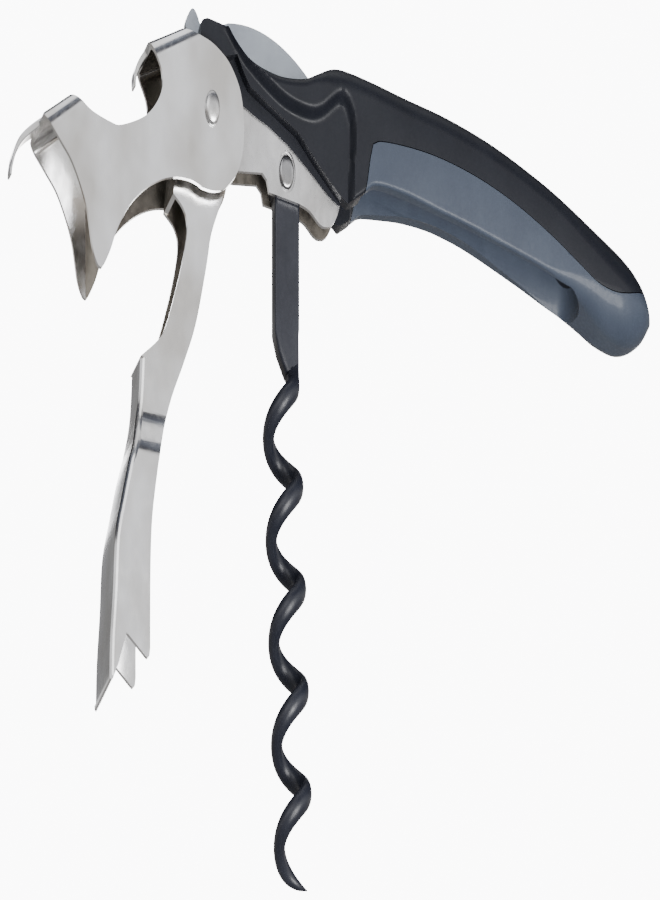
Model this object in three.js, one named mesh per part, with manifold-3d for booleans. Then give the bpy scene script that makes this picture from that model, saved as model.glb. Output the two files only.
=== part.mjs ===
// Double-lever waiter's corkscrew, standing open as it is held ready for use.
//
// X runs along the handle, Z is up and Y is the thickness: the tool is built symmetrically about Y = 0.
// Every outline is drawn in the X-Z plane with the lever rivet at (0, 0); the whole assembly is then
// shifted so that the frame's origin is the centre of its bounding box. Millimetres throughout.

import * as THREE from 'three';
import { mergeVertices } from 'three/addons/utils/BufferGeometryUtils.js';
import Module from 'manifold-3d';

const wasm = await Module();
wasm.setup();

// ---------- driving dimensions ----------

const ORIGIN_SHIFT = [-29.61, 0, 30.95];        // from the lever rivet to the centre of the bounding box

const SHEET = 0.8;                             // thickness of every steel sheet
const GAP = 0.3;                               // assembly clearance between pieces
const HEAD_GAP = 0.15;                         // clearance under a rivet head

const BOOT_HALF = 6.3;                         // half width of the boot lever, outside
const LONG_NARROW_HALF = 4.0;                  // half width of the long lever near its rivet, outside
const LONG_WIDE_HALF = 6.0;                    // half width of the long lever near its forked end
const LINER_OUTER = 2.7;                       // outer face of the frame's side plates
const LINER_INNER = LINER_OUTER - SHEET;
const LAND_HALF = 5.2;                         // handle half thickness where the levers fold over it
const HANDLE_HALF = 6.8;                       // handle half thickness behind the shoulder
const SHELL_INNER = LINER_OUTER + 0.25;        // inner face of the shells beside the frame
const SPLIT_HALF = GAP / 2;                    // each shell stops this far from the middle plane

const LEVER_PIVOT = [0, 0];
const WORM_PIVOT = [19.2, -3.7];
const KNIFE_PIVOT = [1.2, 7.3];

const RIVET_R = 1.2;
const RIVET_HEAD_R = 1.75;
const RIVET_HOLE_R = RIVET_R + GAP;
const KNIFE_PIN_R = 1.0;
const DOME = 0.8;                              // height of a domed rivet head

const BOOT_DISC = { centre: [0.2, -0.8], radius: 7.7 };
const LONG_HUB_R = 5.8;

const WIRE_R = 1.35;
const HELIX_R = 3.25;                          // radius of the wire's centre line
const HELIX_PITCH = 10.08;
const HELIX_TURNS = 4.86;
const HELIX_TOP = [18.6, -24.2];
const HELIX_LEAN = THREE.MathUtils.degToRad(3.76);
const SHANK_HALF = 1.6;                        // half thickness of the flat shank
const WORM_HUB_R = 3.4;
const BUSH_R = 2.0;                            // bush between the worm's hub and its rivet

const STOW_ANGLE = THREE.MathUtils.degToRad(-5);  // slope of the folded worm under the handle
const STOW_AXIS_AT_PIVOT = [18.96, -5.64];
const GROOVE_R = 5.2;
const GROOVE_SPAN = [36.2, 90.6];

const KNIFE_HALF = 0.75;
const SPINE = { centre: [8.6, -25.3], radius: 35.8 };  // the arc of the foil blade's back

const STEEL = { color: 0xc6c8ca, roughness: 0.22, metalness: 1.0 };
const SPRING_STEEL = { color: 0x9a9ca0, roughness: 0.35, metalness: 1.0 };
const BRASS = { color: 0xb79a58, roughness: 0.4, metalness: 1.0 };
const BLACK = { color: 0x35373d, roughness: 0.5, metalness: 0.0 };
const GREY = { color: 0x66707c, roughness: 0.62, metalness: 0.0 };
const COATING = { color: 0x3a3d45, roughness: 0.45, metalness: 0.3 };

// ---------- helpers ----------

/** A closed three.js geometry as a solid that can be joined and cut. */
function solid(geometry) {
  const bare = geometry.index ? geometry.toNonIndexed() : geometry.clone();
  for (const name of Object.keys(bare.attributes)) {
    if (name !== 'position') bare.deleteAttribute(name);
  }
  const welded = mergeVertices(bare, 1e-4);
  return new wasm.Manifold(new wasm.Mesh({
    numProp: 3,
    vertProperties: new Float32Array(welded.attributes.position.array),
    triVerts: new Uint32Array(welded.index.array),
  }));
}

/** A solid as a three.js geometry. */
function geometryOf(body) {
  const mesh = body.getMesh();
  const geometry = new THREE.BufferGeometry();
  const positions = new Float32Array(mesh.numVert * 3);
  for (let i = 0; i < mesh.numVert; i++) {
    for (let k = 0; k < 3; k++) positions[3 * i + k] = mesh.vertProperties[mesh.numProp * i + k];
  }
  geometry.setAttribute('position', new THREE.BufferAttribute(positions, 3));
  geometry.setIndex([...mesh.triVerts]);
  geometry.computeVertexNormals();
  return geometry;
}

/** Points of a smooth curve through the given points. */
function smooth(points, count) {
  const curve = new THREE.SplineCurve(points.map(([x, z]) => new THREE.Vector2(x, z)));
  return curve.getPoints(count).map((p) => [p.x, p.y]);
}

/** Points of a circular arc, angles in degrees, counted from +X towards +Z. */
function arc([cx, cz], radius, from, to, count) {
  const points = [];
  for (let i = 0; i <= count; i++) {
    const angle = THREE.MathUtils.degToRad(from + (to - from) * i / count);
    points.push([cx + radius * Math.cos(angle), cz + radius * Math.sin(angle)]);
  }
  return points;
}

/** An X-Z outline carried through the thickness from y0 to y1. */
function plate(outline, y0, y1) {
  const shape = new THREE.Shape(outline.map(([x, z]) => new THREE.Vector2(x, z)));
  const geometry = new THREE.ExtrudeGeometry(shape, { depth: y1 - y0, bevelEnabled: false });
  geometry.rotateX(Math.PI / 2);
  geometry.translate(0, y1, 0);
  return solid(geometry);
}

/** A round bar along Y. */
function rod([x, z], radius, y0, y1, sides = 24) {
  const geometry = new THREE.CylinderGeometry(radius, radius, y1 - y0, sides);
  geometry.translate(x, (y0 + y1) / 2, z);
  return solid(geometry);
}

/** A ring around an axis along Y. */
function ring(centre, inner, outer, y0, y1) {
  return rod(centre, outer, y0, y1).subtract(rod(centre, inner, y0 - 1, y1 + 1));
}

/** A rivet along Y with a domed head at each end; the heads start at headBase from the middle. */
function rivet([x, z], shankRadius, headRadius, headBase, dome) {
  const profile = [[0, -headBase - dome]];
  const steps = 4;
  for (let i = 1; i <= steps; i++) {
    const angle = (Math.PI / 2) * i / steps;
    profile.push([headRadius * Math.sin(angle), -headBase - dome * Math.cos(angle)]);
  }
  profile.push([shankRadius, -headBase]);
  const mirrored = profile.map(([r, y]) => [r, -y]).reverse();
  const points = [...profile, ...mirrored].map(([r, y]) => new THREE.Vector2(r, y));
  const geometry = new THREE.LatheGeometry(points, 24);
  geometry.translate(x, 0, z);
  return solid(geometry);
}

/** The mirror image of a solid on the other side of the middle plane. */
const mirrored = (body) => body.mirror([0, 1, 0]);

const joined = (bodies) => bodies.reduce((a, b) => a.add(b));

// ---------- the boot lever ----------

const BOOT_LEFT_WEB = [[-40.5, -2.8], [-34.2, 0.0]];
const BOOT_RIGHT_WEB = [[-15.2, 6.6], [-7.1, 8.7]];

function bootOutline() {
  const capNotch = smooth([
    [-33.7, -0.9], [-29.1, -2.6], [-24.6, -3.35], [-21.8, -3.4], [-15.8, -1.9], [-12.4, 0.5], [-12.2, 2.8],
    [-14.6, 5.4],
  ], 22);
  const arch = smooth([
    [-2.5, -7.8], [-5.5, -7.4], [-9.0, -7.5], [-12.6, -8.1], [-16.3, -9.3], [-19.8, -11.1], [-22.8, -13.6],
    [-24.6, -16.0], [-26.7, -17.8],
  ], 18);
  const innerSide = smooth([
    [-27.9, -17.4], [-29.0, -16.0], [-30.2, -12.6], [-31.8, -10.2], [-34.0, -7.9], [-36.6, -6.2],
    [-40.2, -3.9],
  ], 14);
  return [
    ...BOOT_LEFT_WEB, ...capNotch, ...BOOT_RIGHT_WEB, [-4.6, 7.2],
    ...arc(BOOT_DISC.centre, BOOT_DISC.radius, 108, -104, 26), ...arch, ...innerSide,
  ];
}

/** The region inside the bent sheet: open below and on the left, closed only under the two webs. */
const BOOT_HOLLOW = [
  [-50, -7.9], [-33, -0.33], [-33, 12], [-20, 12], [-20, 4.5], [-6.6, 7.98], [-6.6, 12], [15, 12], [15, -25],
  [-50, -25],
];

const FRONT_CLAW = [
  [-38.8, -2.0], [-42.0, -3.6], [-46.3, -6.1], [-47.8, -7.6], [-48.4, -8.8], [-47.9, -9.7], [-47.3, -8.5],
  [-46.5, -7.5], [-45.2, -6.5], [-41.6, -4.5], [-38.8, -3.0],
];
const REAR_CLAW = [
  [-13.5, 7.0], [-16.2, 5.7], [-17.7, 3.9], [-18.5, 2.4], [-18.1, 1.7], [-17.2, 3.2], [-16.2, 4.3],
  [-15.2, 5.1], [-13.5, 6.2],
];
const CLAW_HALF = 2.5;

function bootLever() {
  const inner = BOOT_HALF - SHEET;
  return joined([
    plate(bootOutline(), -BOOT_HALF, BOOT_HALF).subtract(plate(BOOT_HOLLOW, -inner, inner)),
    plate(FRONT_CLAW, -CLAW_HALF, CLAW_HALF),
    plate(REAR_CLAW, -CLAW_HALF, CLAW_HALF),
  ]).subtract(rod(LEVER_PIVOT, RIVET_HOLE_R, -BOOT_HALF - 1, BOOT_HALF + 1));
}

// ---------- the long forked lever ----------

const JOGGLE_Z = -33.5;                        // where the channel widens
const STEP_Z = JOGGLE_Z - SHEET;

function longNarrowOutline() {
  const lipNotch = smooth([[-8.7, -8.5], [-6.2, -9.8], [-5.3, -11.6], [-6.3, -14.7], [-8.2, -18.2],
    [-10.6, -21.9], [-12.6, -23.4]], 12);
  const rightEdge = smooth([[-11.6, -33.0], [-9.0, -28.6], [-6.1, -25.0], [-3.2, -20.9], [-0.6, -14.9],
    [0.5, -11.8], [3.1, -8.2], [3.9, -6.7]], 12);
  return [
    ...arc(LEVER_PIVOT, LONG_HUB_R, -36, 200, 22), [-7.5, -4.4], ...lipNotch, [-16.6, -25.2],
    [-17.1, -29.5], [-18.3, JOGGLE_Z], [-18.5, STEP_Z], [-11.9, STEP_Z], ...rightEdge,
  ];
}

const LONG_NARROW_HOLLOW = [
  [-30, -25.2], [-15.9, -25.2], [-16.3, -29.6], [-17.5, -34], [-17.6, -36], [10, -36], [10, 20], [-30, 20],
];

const LONG_WIDE_OUTLINE = [
  [-18.8, JOGGLE_Z], [-19.4, -35.0], [-21.5, -39.7], [-23.2, -43.7], [-23.8, -49.1], [-24.5, -54.0],
  [-24.7, -57.9], [-24.2, -58.4], [-22.6, -56.6], [-20.6, -53.4], [-15.8, -55.5], [-14.9, -54.5],
  [-14.9, -51.1], [-14.8, -45.8], [-14.4, -41.5], [-13.4, -37.7], [-12.5, -35.0], [-11.5, JOGGLE_Z],
];
const LONG_WIDE_HOLLOW = [
  [-18.4, STEP_Z], [-18.6, -35.2], [-20.75, -40.0], [-22.4, -43.9], [-23.0, -49.2], [-23.7, -54.1],
  [-23.9, -62], [0, -62], [0, STEP_Z],
];
const LONG_LIP = [[-8.7, -8.5], [-7.9, -8.7], [-6.6, -4.8], [-7.4, -4.5]];

function longLever() {
  const narrowInner = LONG_NARROW_HALF - SHEET;
  const wideInner = LONG_WIDE_HALF - SHEET;
  return joined([
    plate(longNarrowOutline(), -LONG_NARROW_HALF, LONG_NARROW_HALF),
    plate(LONG_WIDE_OUTLINE, -LONG_WIDE_HALF, LONG_WIDE_HALF),
  ]).subtract(joined([
    plate(LONG_NARROW_HOLLOW, -narrowInner, narrowInner),
    plate(LONG_WIDE_HOLLOW, -wideInner, wideInner),
  ])).add(plate(LONG_LIP, -LONG_NARROW_HALF + 0.1, LONG_NARROW_HALF - 0.1))
    .subtract(rod(LEVER_PIVOT, RIVET_HOLE_R, -LONG_NARROW_HALF - 1, LONG_NARROW_HALF + 1));
}

// ---------- the steel frame ----------

const TANG_PIN = [40.5, 2.2];
const FRAME_PIN = [30.6, -0.3];

function linerOutline() {
  return [
    ...arc(LEVER_PIVOT, 5.2, 150, 302, 14), [7.7, -4.6], [13.3, -4.3], [14.4, -4.9], [14.9, -6.1],
    [22.0, -6.6], [24.7, -7.1], [27.1, -8.2], [28.6, -8.4], [30.3, -8.0], [31.9, -6.2], [33.4, -2.0],
    [36.0, 0.2], [42.4, 0.4], [43.4, 1.6], [43.2, 3.4], [41.6, 4.1], [14.0, 4.1], [8.4, 5.2], [6.6, 7.6],
    [4.4, 9.3], [-1.6, 9.3], [-3.2, 7.4],
  ];
}

const COUNTERSINK_DEPTH = 0.45;
const COUNTERSINK_R = 2.05;

function liner() {
  const holes = joined([
    rod(LEVER_PIVOT, RIVET_HOLE_R, 0, 5),
    rod(WORM_PIVOT, RIVET_HOLE_R, 0, 5),
    rod(WORM_PIVOT, COUNTERSINK_R, LINER_OUTER - COUNTERSINK_DEPTH, 5),
    rod(KNIFE_PIVOT, KNIFE_PIN_R + GAP, 0, 5),
    rod(TANG_PIN, RIVET_HOLE_R, 0, 5),
    rod(FRAME_PIN, RIVET_HOLE_R, 0, 5),
  ]);
  return plate(linerOutline(), LINER_INNER, LINER_OUTER).subtract(holes);
}

/** The leaf spring that holds the worm folded or out. */
const DETENT_SPRING = [
  [28.6, 0.9], [22.0, 0.75], [19.2, 0.25], [16.5, 0.6], [12.0, 0.9], [12.0, 1.4], [16.5, 1.15], [19.2, 0.8],
  [22.0, 1.3], [28.6, 1.4],
];
const SPRING_HALF = 1.5;

// ---------- the handle ----------

/** The side view of the whole handle, black shells and soft grip together. */
function handleOutline() {
  const thumbNotch = smooth([[5.4, 8.3], [7.4, 6.7], [10.5, 5.7], [14.4, 5.1], [18.0, 4.8], [22.4, 4.8],
    [25.4, 5.4], [28.6, 6.3], [31.4, 6.9], [34.8, 6.95]], 18);
  const back = smooth([[34.8, 6.95], [46.4, 5.9], [57.5, 4.6], [68.7, 2.8], [79.8, 0.3], [90.9, -2.8],
    [99.7, -5.6], [104.2, -7.5], [106.9, -9.6], [107.6, -11.2], [106.2, -13.1], [101.0, -14.6],
    [95.4, -14.75], [91.7, -14.0], [90.0, -12.6]], 30);
  const rim = smooth([[88.6, -10.9], [85.5, -10.1], [80.0, -9.0], [71.7, -7.8], [63.3, -6.6], [55.0, -5.6],
    [46.6, -4.6], [39.6, -4.3], [36.6, -5.6]], 16);
  return [
    [-2.4, 8.5], [-2.1, 9.2], [-0.6, 9.7], [3.7, 9.4], [4.9, 9.3], ...thumbNotch, ...back.slice(1), ...rim,
    [34.4, -6.6], [33.6, -6.8], [31.8, -5.7], [25.6, -2.0], [21.0, 0.2], [15.0, 2.1],
    [12.2, 2.9], [9.4, 3.7], [7.9, 4.9], [6.4, 6.2], ...arc(LEVER_PIVOT, 6.4, 62, 112, 5),
  ];
}

/** The part of the handle's side that is set back so that the boot lever can lie over it. */
function landRegion() {
  const shoulder = smooth([[3.7, 8.4], [7.4, 5.9], [12.2, 3.8], [17.8, 2.0], [23.3, 1.3], [26.7, 1.7],
    [31.4, 3.5], [33.5, 2.0], [33.9, -0.4], [33.6, -3.0], [33.2, -8.2]], 20);
  return [[3.7, 14], ...shoulder, [33.2, -14], [-10, -14], [-10, 14]];
}

/** The soft grip's region below its seam, moved down and right by inset. */
function gripRegion(inset) {
  const seam = smooth([[36.0, -7.4], [37.4, -4.4], [38.5, -1.2], [40.2, -0.1], [48.9, -0.1], [57.1, -0.7],
    [65.6, -1.9], [73.8, -3.6], [82.2, -5.9], [88.9, -8.1], [93.2, -9.5], [97.2, -10.1], [100.5, -10.0],
    [104.2, -9.3], [112.0, -7.6]], 26);
  const moved = seam.map(([x, z], i) => [x + (i < 4 ? inset : 0), z - inset]);
  return [...moved, [112, -20], [36.0 + inset, -20]];
}

/** The groove under the handle that takes the folded worm. */
function wormGroove() {
  const [x0, x1] = GROOVE_SPAN;
  const slope = Math.tan(STOW_ANGLE);
  const [px, pz] = STOW_AXIS_AT_PIVOT;
  const length = (x1 - x0) / Math.cos(STOW_ANGLE);
  const bar = new THREE.CylinderGeometry(GROOVE_R, GROOVE_R, length, 32);
  bar.rotateZ(Math.PI / 2);
  bar.rotateY(-STOW_ANGLE);
  const middle = (x0 + x1) / 2;
  bar.translate(middle, 0, pz + (middle - px) * slope);
  const axisZ = (x) => pz + (x - px) * slope;
  const below = plate([[x0, axisZ(x0)], [x1 - 0.5, axisZ(x1)], [x1 - 0.5, -25], [x0, -25]],
    -GROOVE_R, GROOVE_R);
  return solid(bar).add(below);
}

const SHELL_PINS = [[47.0, 3.0], [68.0, 0.4], [90.5, -5.6]];
const SHELL_PIN_R = 1.3;
const SHELL_PIN_HALF = 4.6;

/** Everything that is cut out of the handle, whichever material it passes through. */
function handleCuts() {
  const frameRoom = [[-20, -20], [36.6, -20], [36.6, -0.3], [43.9, -0.3], [43.9, 4.6], [-20, 4.6]];
  const headRoom = [[-20, 4.5], [11.8, 4.5], [11.8, 20], [-20, 20]];
  const bladeSlot = [[-20, 4], [33.8, 4], [33.8, 20], [-20, 20]];
  return joined([
    plate(frameRoom, -SHELL_INNER, SHELL_INNER),
    plate(headRoom, -SHELL_INNER, SHELL_INNER),
    plate(bladeSlot, -1.3, 1.3),
    wormGroove(),
    ...SHELL_PINS.map((place) => rod(place, SHELL_PIN_R + GAP, -SHELL_PIN_HALF - GAP, SHELL_PIN_HALF + GAP)),
    plate(landRegion(), LAND_HALF, 20),
    plate(landRegion(), -20, -LAND_HALF),
  ]);
}

function handleBlank() {
  return plate(handleOutline(), -HANDLE_HALF, HANDLE_HALF).subtract(handleCuts());
}

function largestPiece(body) {
  return body.decompose().sort((a, b) => b.volume() - a.volume())[0];
}

function frontShell(blank) {
  const frontHalf = plate([[-30, -30], [130, -30], [130, 30], [-30, 30]], -20, -SPLIT_HALF);
  return largestPiece(blank.intersect(frontHalf).subtract(plate(gripRegion(0), -20, 20)));
}

function softGrip(blank) {
  return largestPiece(blank.intersect(plate(gripRegion(GAP), -20, 20)));
}

// ---------- the foil knife ----------

function knifeOutline() {
  const spineAt = (x) => SPINE.centre[1] + Math.sqrt(SPINE.radius ** 2 - (x - SPINE.centre[0]) ** 2);
  const spine = [];
  const spineStart = 5.6;
  const spineEnd = 32.0;
  const steps = 14;
  for (let i = 0; i <= steps; i++) {
    const x = spineStart + (spineEnd - spineStart) * i / steps;
    spine.push([x, spineAt(x)]);
  }
  const thumbTab = smooth([[-1.1, 7.6], [-3.0, 8.9], [-4.3, 10.3], [-3.0, 11.15], [-2.0, 10.6], [-0.9, 9.6],
    [1.2, 9.7], [3.4, 9.9]], 14);
  const edge = smooth([[32.4, 1.0], [29.0, 1.9], [20.0, 2.5], [12.0, 3.2], [5.0, 4.9], [2.6, 5.3],
    [0.4, 5.2], [-0.9, 6.3]], 12);
  return [...thumbTab, ...spine, ...edge];
}

function knifeBlade() {
  return plate(knifeOutline(), -KNIFE_HALF, KNIFE_HALF)
    .subtract(rod(KNIFE_PIVOT, KNIFE_PIN_R + GAP, -2, 2));
}

// ---------- the worm ----------

/** The wire: a right-handed helix about a leaning axis, drawn out to a point over its last half turn. */
function helixWire() {
  const along = new THREE.Vector3(Math.sin(HELIX_LEAN), 0, -Math.cos(HELIX_LEAN));
  const across = new THREE.Vector3(Math.cos(HELIX_LEAN), 0, Math.sin(HELIX_LEAN));
  const leadIn = -0.1;
  const stepsPerTurn = 18;
  const steps = Math.round((HELIX_TURNS - leadIn) * stepsPerTurn);
  const sides = 10;
  const pointTurns = 0.6;
  const centreAt = (turn) => {
    const angle = 2 * Math.PI * turn;
    return new THREE.Vector3(HELIX_TOP[0], 0, HELIX_TOP[1])
      .addScaledVector(along, HELIX_PITCH * turn)
      .addScaledVector(across, HELIX_R * Math.cos(angle))
      .add(new THREE.Vector3(0, -HELIX_R * Math.sin(angle), 0));
  };
  const positions = [];
  const index = [];
  for (let i = 0; i <= steps; i++) {
    const turn = leadIn + (HELIX_TURNS - leadIn) * i / steps;
    const centre = centreAt(turn);
    const tangent = centreAt(turn + 1e-3).sub(centreAt(turn - 1e-3)).normalize();
    const outward = centre.clone().sub(new THREE.Vector3(HELIX_TOP[0], 0, HELIX_TOP[1]));
    outward.addScaledVector(along, -outward.dot(along));
    outward.addScaledVector(tangent, -outward.dot(tangent)).normalize();
    const side = new THREE.Vector3().crossVectors(tangent, outward);
    const taper = Math.min(1, 0.08 + 0.92 * Math.sqrt(Math.max(0, (HELIX_TURNS - turn) / pointTurns)));
    for (let k = 0; k < sides; k++) {
      const angle = 2 * Math.PI * k / sides;
      const rim = centre.clone()
        .addScaledVector(outward, WIRE_R * taper * Math.cos(angle))
        .addScaledVector(side, WIRE_R * taper * Math.sin(angle));
      positions.push(rim.x, rim.y, rim.z);
    }
  }
  for (let i = 0; i < steps; i++) {
    for (let k = 0; k < sides; k++) {
      const a = i * sides + k;
      const b = i * sides + (k + 1) % sides;
      index.push(a, b, a + sides, b, b + sides, a + sides);
    }
  }
  const last = steps * sides;
  for (let k = 1; k < sides - 1; k++) {
    index.push(0, k + 1, k);
    index.push(last, last + k, last + k + 1);
  }
  const geometry = new THREE.BufferGeometry();
  geometry.setAttribute('position', new THREE.Float32BufferAttribute(positions, 3));
  geometry.setIndex(index);
  return solid(geometry);
}

function worm() {
  const shank = plate([[16.7, -6.0], [16.7, -19.2], [20.4, -23.9], [21.4, -25.2], [23.0, -24.6],
    [22.7, -20.0], [22.7, -6.0], [21.4, -3.4], [17.2, -3.4]], -SHANK_HALF, SHANK_HALF);
  return joined([shank, rod(WORM_PIVOT, WORM_HUB_R, -SHANK_HALF, SHANK_HALF), helixWire()])
    .subtract(rod(WORM_PIVOT, BUSH_R + GAP, -3, 3));
}

// ---------- assembly ----------

const assembly = new THREE.Group();
assembly.position.set(...ORIGIN_SHIFT);

function place(name, body, look) {
  const mesh = new THREE.Mesh(geometryOf(body), new THREE.MeshStandardMaterial(look));
  mesh.name = name;
  assembly.add(mesh);
}

const blank = handleBlank();
const shell = frontShell(blank);
place('handle_shell_front', shell, BLACK);
place('handle_shell_back', mirrored(shell), BLACK);
place('soft_grip', softGrip(blank), GREY);
SHELL_PINS.forEach((at, i) => {
  place(`shell_pin_${i + 1}`, rod(at, SHELL_PIN_R, -SHELL_PIN_HALF, SHELL_PIN_HALF, 12), SPRING_STEEL);
});

place('liner_back', liner(), STEEL);
place('liner_front', mirrored(liner()), STEEL);
place('tang_pin', rod(TANG_PIN, RIVET_R, -LINER_OUTER, LINER_OUTER, 16), SPRING_STEEL);
place('frame_pin', rod(FRAME_PIN, RIVET_R, -LINER_OUTER, LINER_OUTER, 16), SPRING_STEEL);
place('detent_spring', plate(DETENT_SPRING, -SPRING_HALF, SPRING_HALF), SPRING_STEEL);

place('lever_rivet', rivet(LEVER_PIVOT, RIVET_R, RIVET_HEAD_R, BOOT_HALF + HEAD_GAP, DOME), STEEL);
place('worm_rivet', rivet(WORM_PIVOT, RIVET_R, RIVET_HEAD_R, LINER_OUTER - COUNTERSINK_DEPTH + HEAD_GAP, 0.6),
  STEEL);
place('knife_pin', rod(KNIFE_PIVOT, KNIFE_PIN_R, -LINER_OUTER, LINER_OUTER, 16), SPRING_STEEL);

const leverWasher = ring(LEVER_PIVOT, RIVET_HOLE_R, 3.2, LONG_NARROW_HALF + 0.1, BOOT_HALF - SHEET - 0.1);
place('lever_washer_back', leverWasher, SPRING_STEEL);
place('lever_washer_front', mirrored(leverWasher), SPRING_STEEL);
const knifeWasher = ring(KNIFE_PIVOT, KNIFE_PIN_R + GAP, 2.1, KNIFE_HALF + 0.1, LINER_INNER - 0.1);
place('knife_washer_back', knifeWasher, BRASS);
place('knife_washer_front', mirrored(knifeWasher), BRASS);

place('boot_lever', bootLever(), STEEL);
place('long_lever', longLever(), STEEL);
place('worm', worm(), COATING);
place('worm_bush', ring(WORM_PIVOT, RIVET_HOLE_R, BUSH_R, -SHANK_HALF, SHANK_HALF), BRASS);
place('foil_blade', knifeBlade(), STEEL);

const group = new THREE.Group();
group.add(assembly);

export default group;
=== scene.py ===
import math

import bmesh
import bpy
from mathutils import Matrix, Vector


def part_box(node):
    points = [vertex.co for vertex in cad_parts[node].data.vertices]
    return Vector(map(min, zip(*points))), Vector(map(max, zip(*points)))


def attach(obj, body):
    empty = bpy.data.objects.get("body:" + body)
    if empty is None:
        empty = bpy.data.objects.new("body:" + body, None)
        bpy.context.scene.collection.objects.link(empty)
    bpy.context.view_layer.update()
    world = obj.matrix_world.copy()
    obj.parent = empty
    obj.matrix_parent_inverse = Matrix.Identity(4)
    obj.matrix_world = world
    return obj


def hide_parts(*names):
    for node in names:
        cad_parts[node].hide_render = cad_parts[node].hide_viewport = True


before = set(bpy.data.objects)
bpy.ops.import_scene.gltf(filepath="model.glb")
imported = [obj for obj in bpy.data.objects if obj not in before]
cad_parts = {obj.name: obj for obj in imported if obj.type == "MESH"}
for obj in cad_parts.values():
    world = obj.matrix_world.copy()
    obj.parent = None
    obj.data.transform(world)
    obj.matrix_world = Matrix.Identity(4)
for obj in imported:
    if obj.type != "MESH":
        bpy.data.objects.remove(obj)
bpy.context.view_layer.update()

MM = 0.001
rivet_low, rivet_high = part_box("lever_rivet")
LEVER_RIVET = (rivet_low + rivet_high) / 2
TO_FRAME = Matrix.Translation(LEVER_RIVET) @ Matrix.Scale(MM, 4)

SHEET = 0.8
BOOT_HALF = 6.3
LONG_NARROW_HALF = 4.0
LONG_WIDE_HALF = 6.0
LINER_INNER, LINER_OUTER = 1.9, 2.7
LAND_HALF = 5.2
HANDLE_HALF = 6.8
SHELL_INNER = 2.95
SHELL_GAP = 0.05                # from the middle plane to each shell half
LIP_SPAN = (2.78, 3.06)
BEND_OUTER, BEND_INNER = 2.0, 1.2
LONG_BEND = 1.3
# where the painted shade on the inner faces of the two levers begins
BOOT_SHADE_FROM, LONG_SHADE_FROM = -27.0, -34.0
WORM_PIVOT = (19.2, -3.7)
KNIFE_PIVOT = (1.2, 7.3)
RIVET_R, RIVET_HEAD_R, RIVET_HOLE_R = 1.2, 1.75, 1.5
KNIFE_HALF, KNIFE_HOLE_R = 0.75, 1.3
PRESSED_EDGE, PLATE_EDGE, SHELL_EDGE, GRIP_EDGE, BLADE_EDGE = 0.13, 0.12, 0.16, 0.22, 0.07
CLEAR = 9                       # half length of a cutter that goes right through

WIRE_R = 1.35
HELIX_R = 3.25
HELIX_PITCH = 10.08
HELIX_TURNS = 4.92
HELIX_TOP = (18.6, -23.75)
HELIX_LEAN = math.radians(3.76)
JOIN_TURN = 0.14                # the shank has become the wire this far down the first turn
POINT_TURNS = 0.36
SHANK_HALF, NECK_HALF = 1.6, 1.42
HUB_R, HUB_HOLE_R = 3.4, 2.3

GROOVE_HALF = 5.85
GROOVE_R = 5.2
GROOVE_SPAN = (36.2, 90.3)
GROOVE_END = 3.4
GROOVE_SLOPE = math.radians(-5)
GROOVE_THROUGH = (18.96, -5.64)

scene = bpy.context.scene


# ---------- curves ----------

def smooth(points, spacing=0.7):
    """A Catmull-Rom curve through the points, sampled about every spacing millimetres."""
    curve = []
    last = len(points) - 1
    for i in range(last):
        before, a, b, after = (Vector(points[min(max(i + d, 0), last)]) for d in (-1, 0, 1, 2))
        va, vb = (b - before) / 2, (after - a) / 2
        steps = max(2, round((b - a).length / spacing))
        for k in range(steps):
            t = k / steps
            p = (2 * a - 2 * b + va + vb) * t ** 3 + (3 * b - 3 * a - 2 * va - vb) * t ** 2 + va * t + a
            curve.append(tuple(p))
    curve.append(tuple(points[last]))
    return curve


def arc(centre, radius, start, end, step=6):
    """Points on an arc from start to end, in degrees anticlockwise from +X."""
    steps = max(2, math.ceil(abs(end - start) / step))
    angles = [math.radians(start + (end - start) * k / steps) for k in range(steps + 1)]
    return [(centre[0] + radius * math.cos(t), centre[1] + radius * math.sin(t)) for t in angles]


def height(curve, x):
    """Z of a curve that only ever runs one way in X."""
    for (x0, z0), (x1, z1) in zip(curve, curve[1:]):
        if min(x0, x1) <= x <= max(x0, x1) and x0 != x1:
            return z0 + (z1 - z0) * (x - x0) / (x1 - x0)
    return curve[0][1] if abs(x - curve[0][0]) < abs(x - curve[-1][0]) else curve[-1][1]


def ramp(low, high, x):
    """0 at low, 1 at high and beyond, smooth between."""
    t = min(max((x - low) / (high - low), 0), 1)
    return t * t * (3 - 2 * t)


def mix(a, b, t):
    return a + (b - a) * t


# ---------- solids ----------

def new_object(name, verts, faces):
    """A closed mesh in the scene, with its faces turned outwards."""
    mesh = bpy.data.meshes.new(name)
    mesh.from_pydata(verts, [], faces)
    bm = bmesh.new()
    bm.from_mesh(mesh)
    bmesh.ops.recalc_face_normals(bm, faces=bm.faces)
    bm.to_mesh(mesh)
    bm.free()
    obj = bpy.data.objects.new(name, mesh)
    scene.collection.objects.link(obj)
    return obj


def prism(name, outline, low, high):
    """An outline in the X-Z plane, drawn out from Y = low to Y = high."""
    n = len(outline)
    verts = [(x, y, z) for y in (low, high) for x, z in outline]
    sides = [(i, (i + 1) % n, n + (i + 1) % n, n + i) for i in range(n)]
    return new_object(name, verts, [tuple(range(n)), tuple(range(2 * n - 1, n - 1, -1)), *sides])


def loft(name, rings):
    """A closed solid through rings of equal count, flat at both ends."""
    n, m = len(rings[0]), len(rings)
    verts = [tuple(p) for ring in rings for p in ring]
    faces = [(r * n + i, r * n + (i + 1) % n, (r + 1) * n + (i + 1) % n, (r + 1) * n + i)
             for r in range(m - 1) for i in range(n)]
    faces += [tuple(range(n)), tuple(range((m - 1) * n, m * n))]
    return new_object(name, verts, faces)


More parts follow.
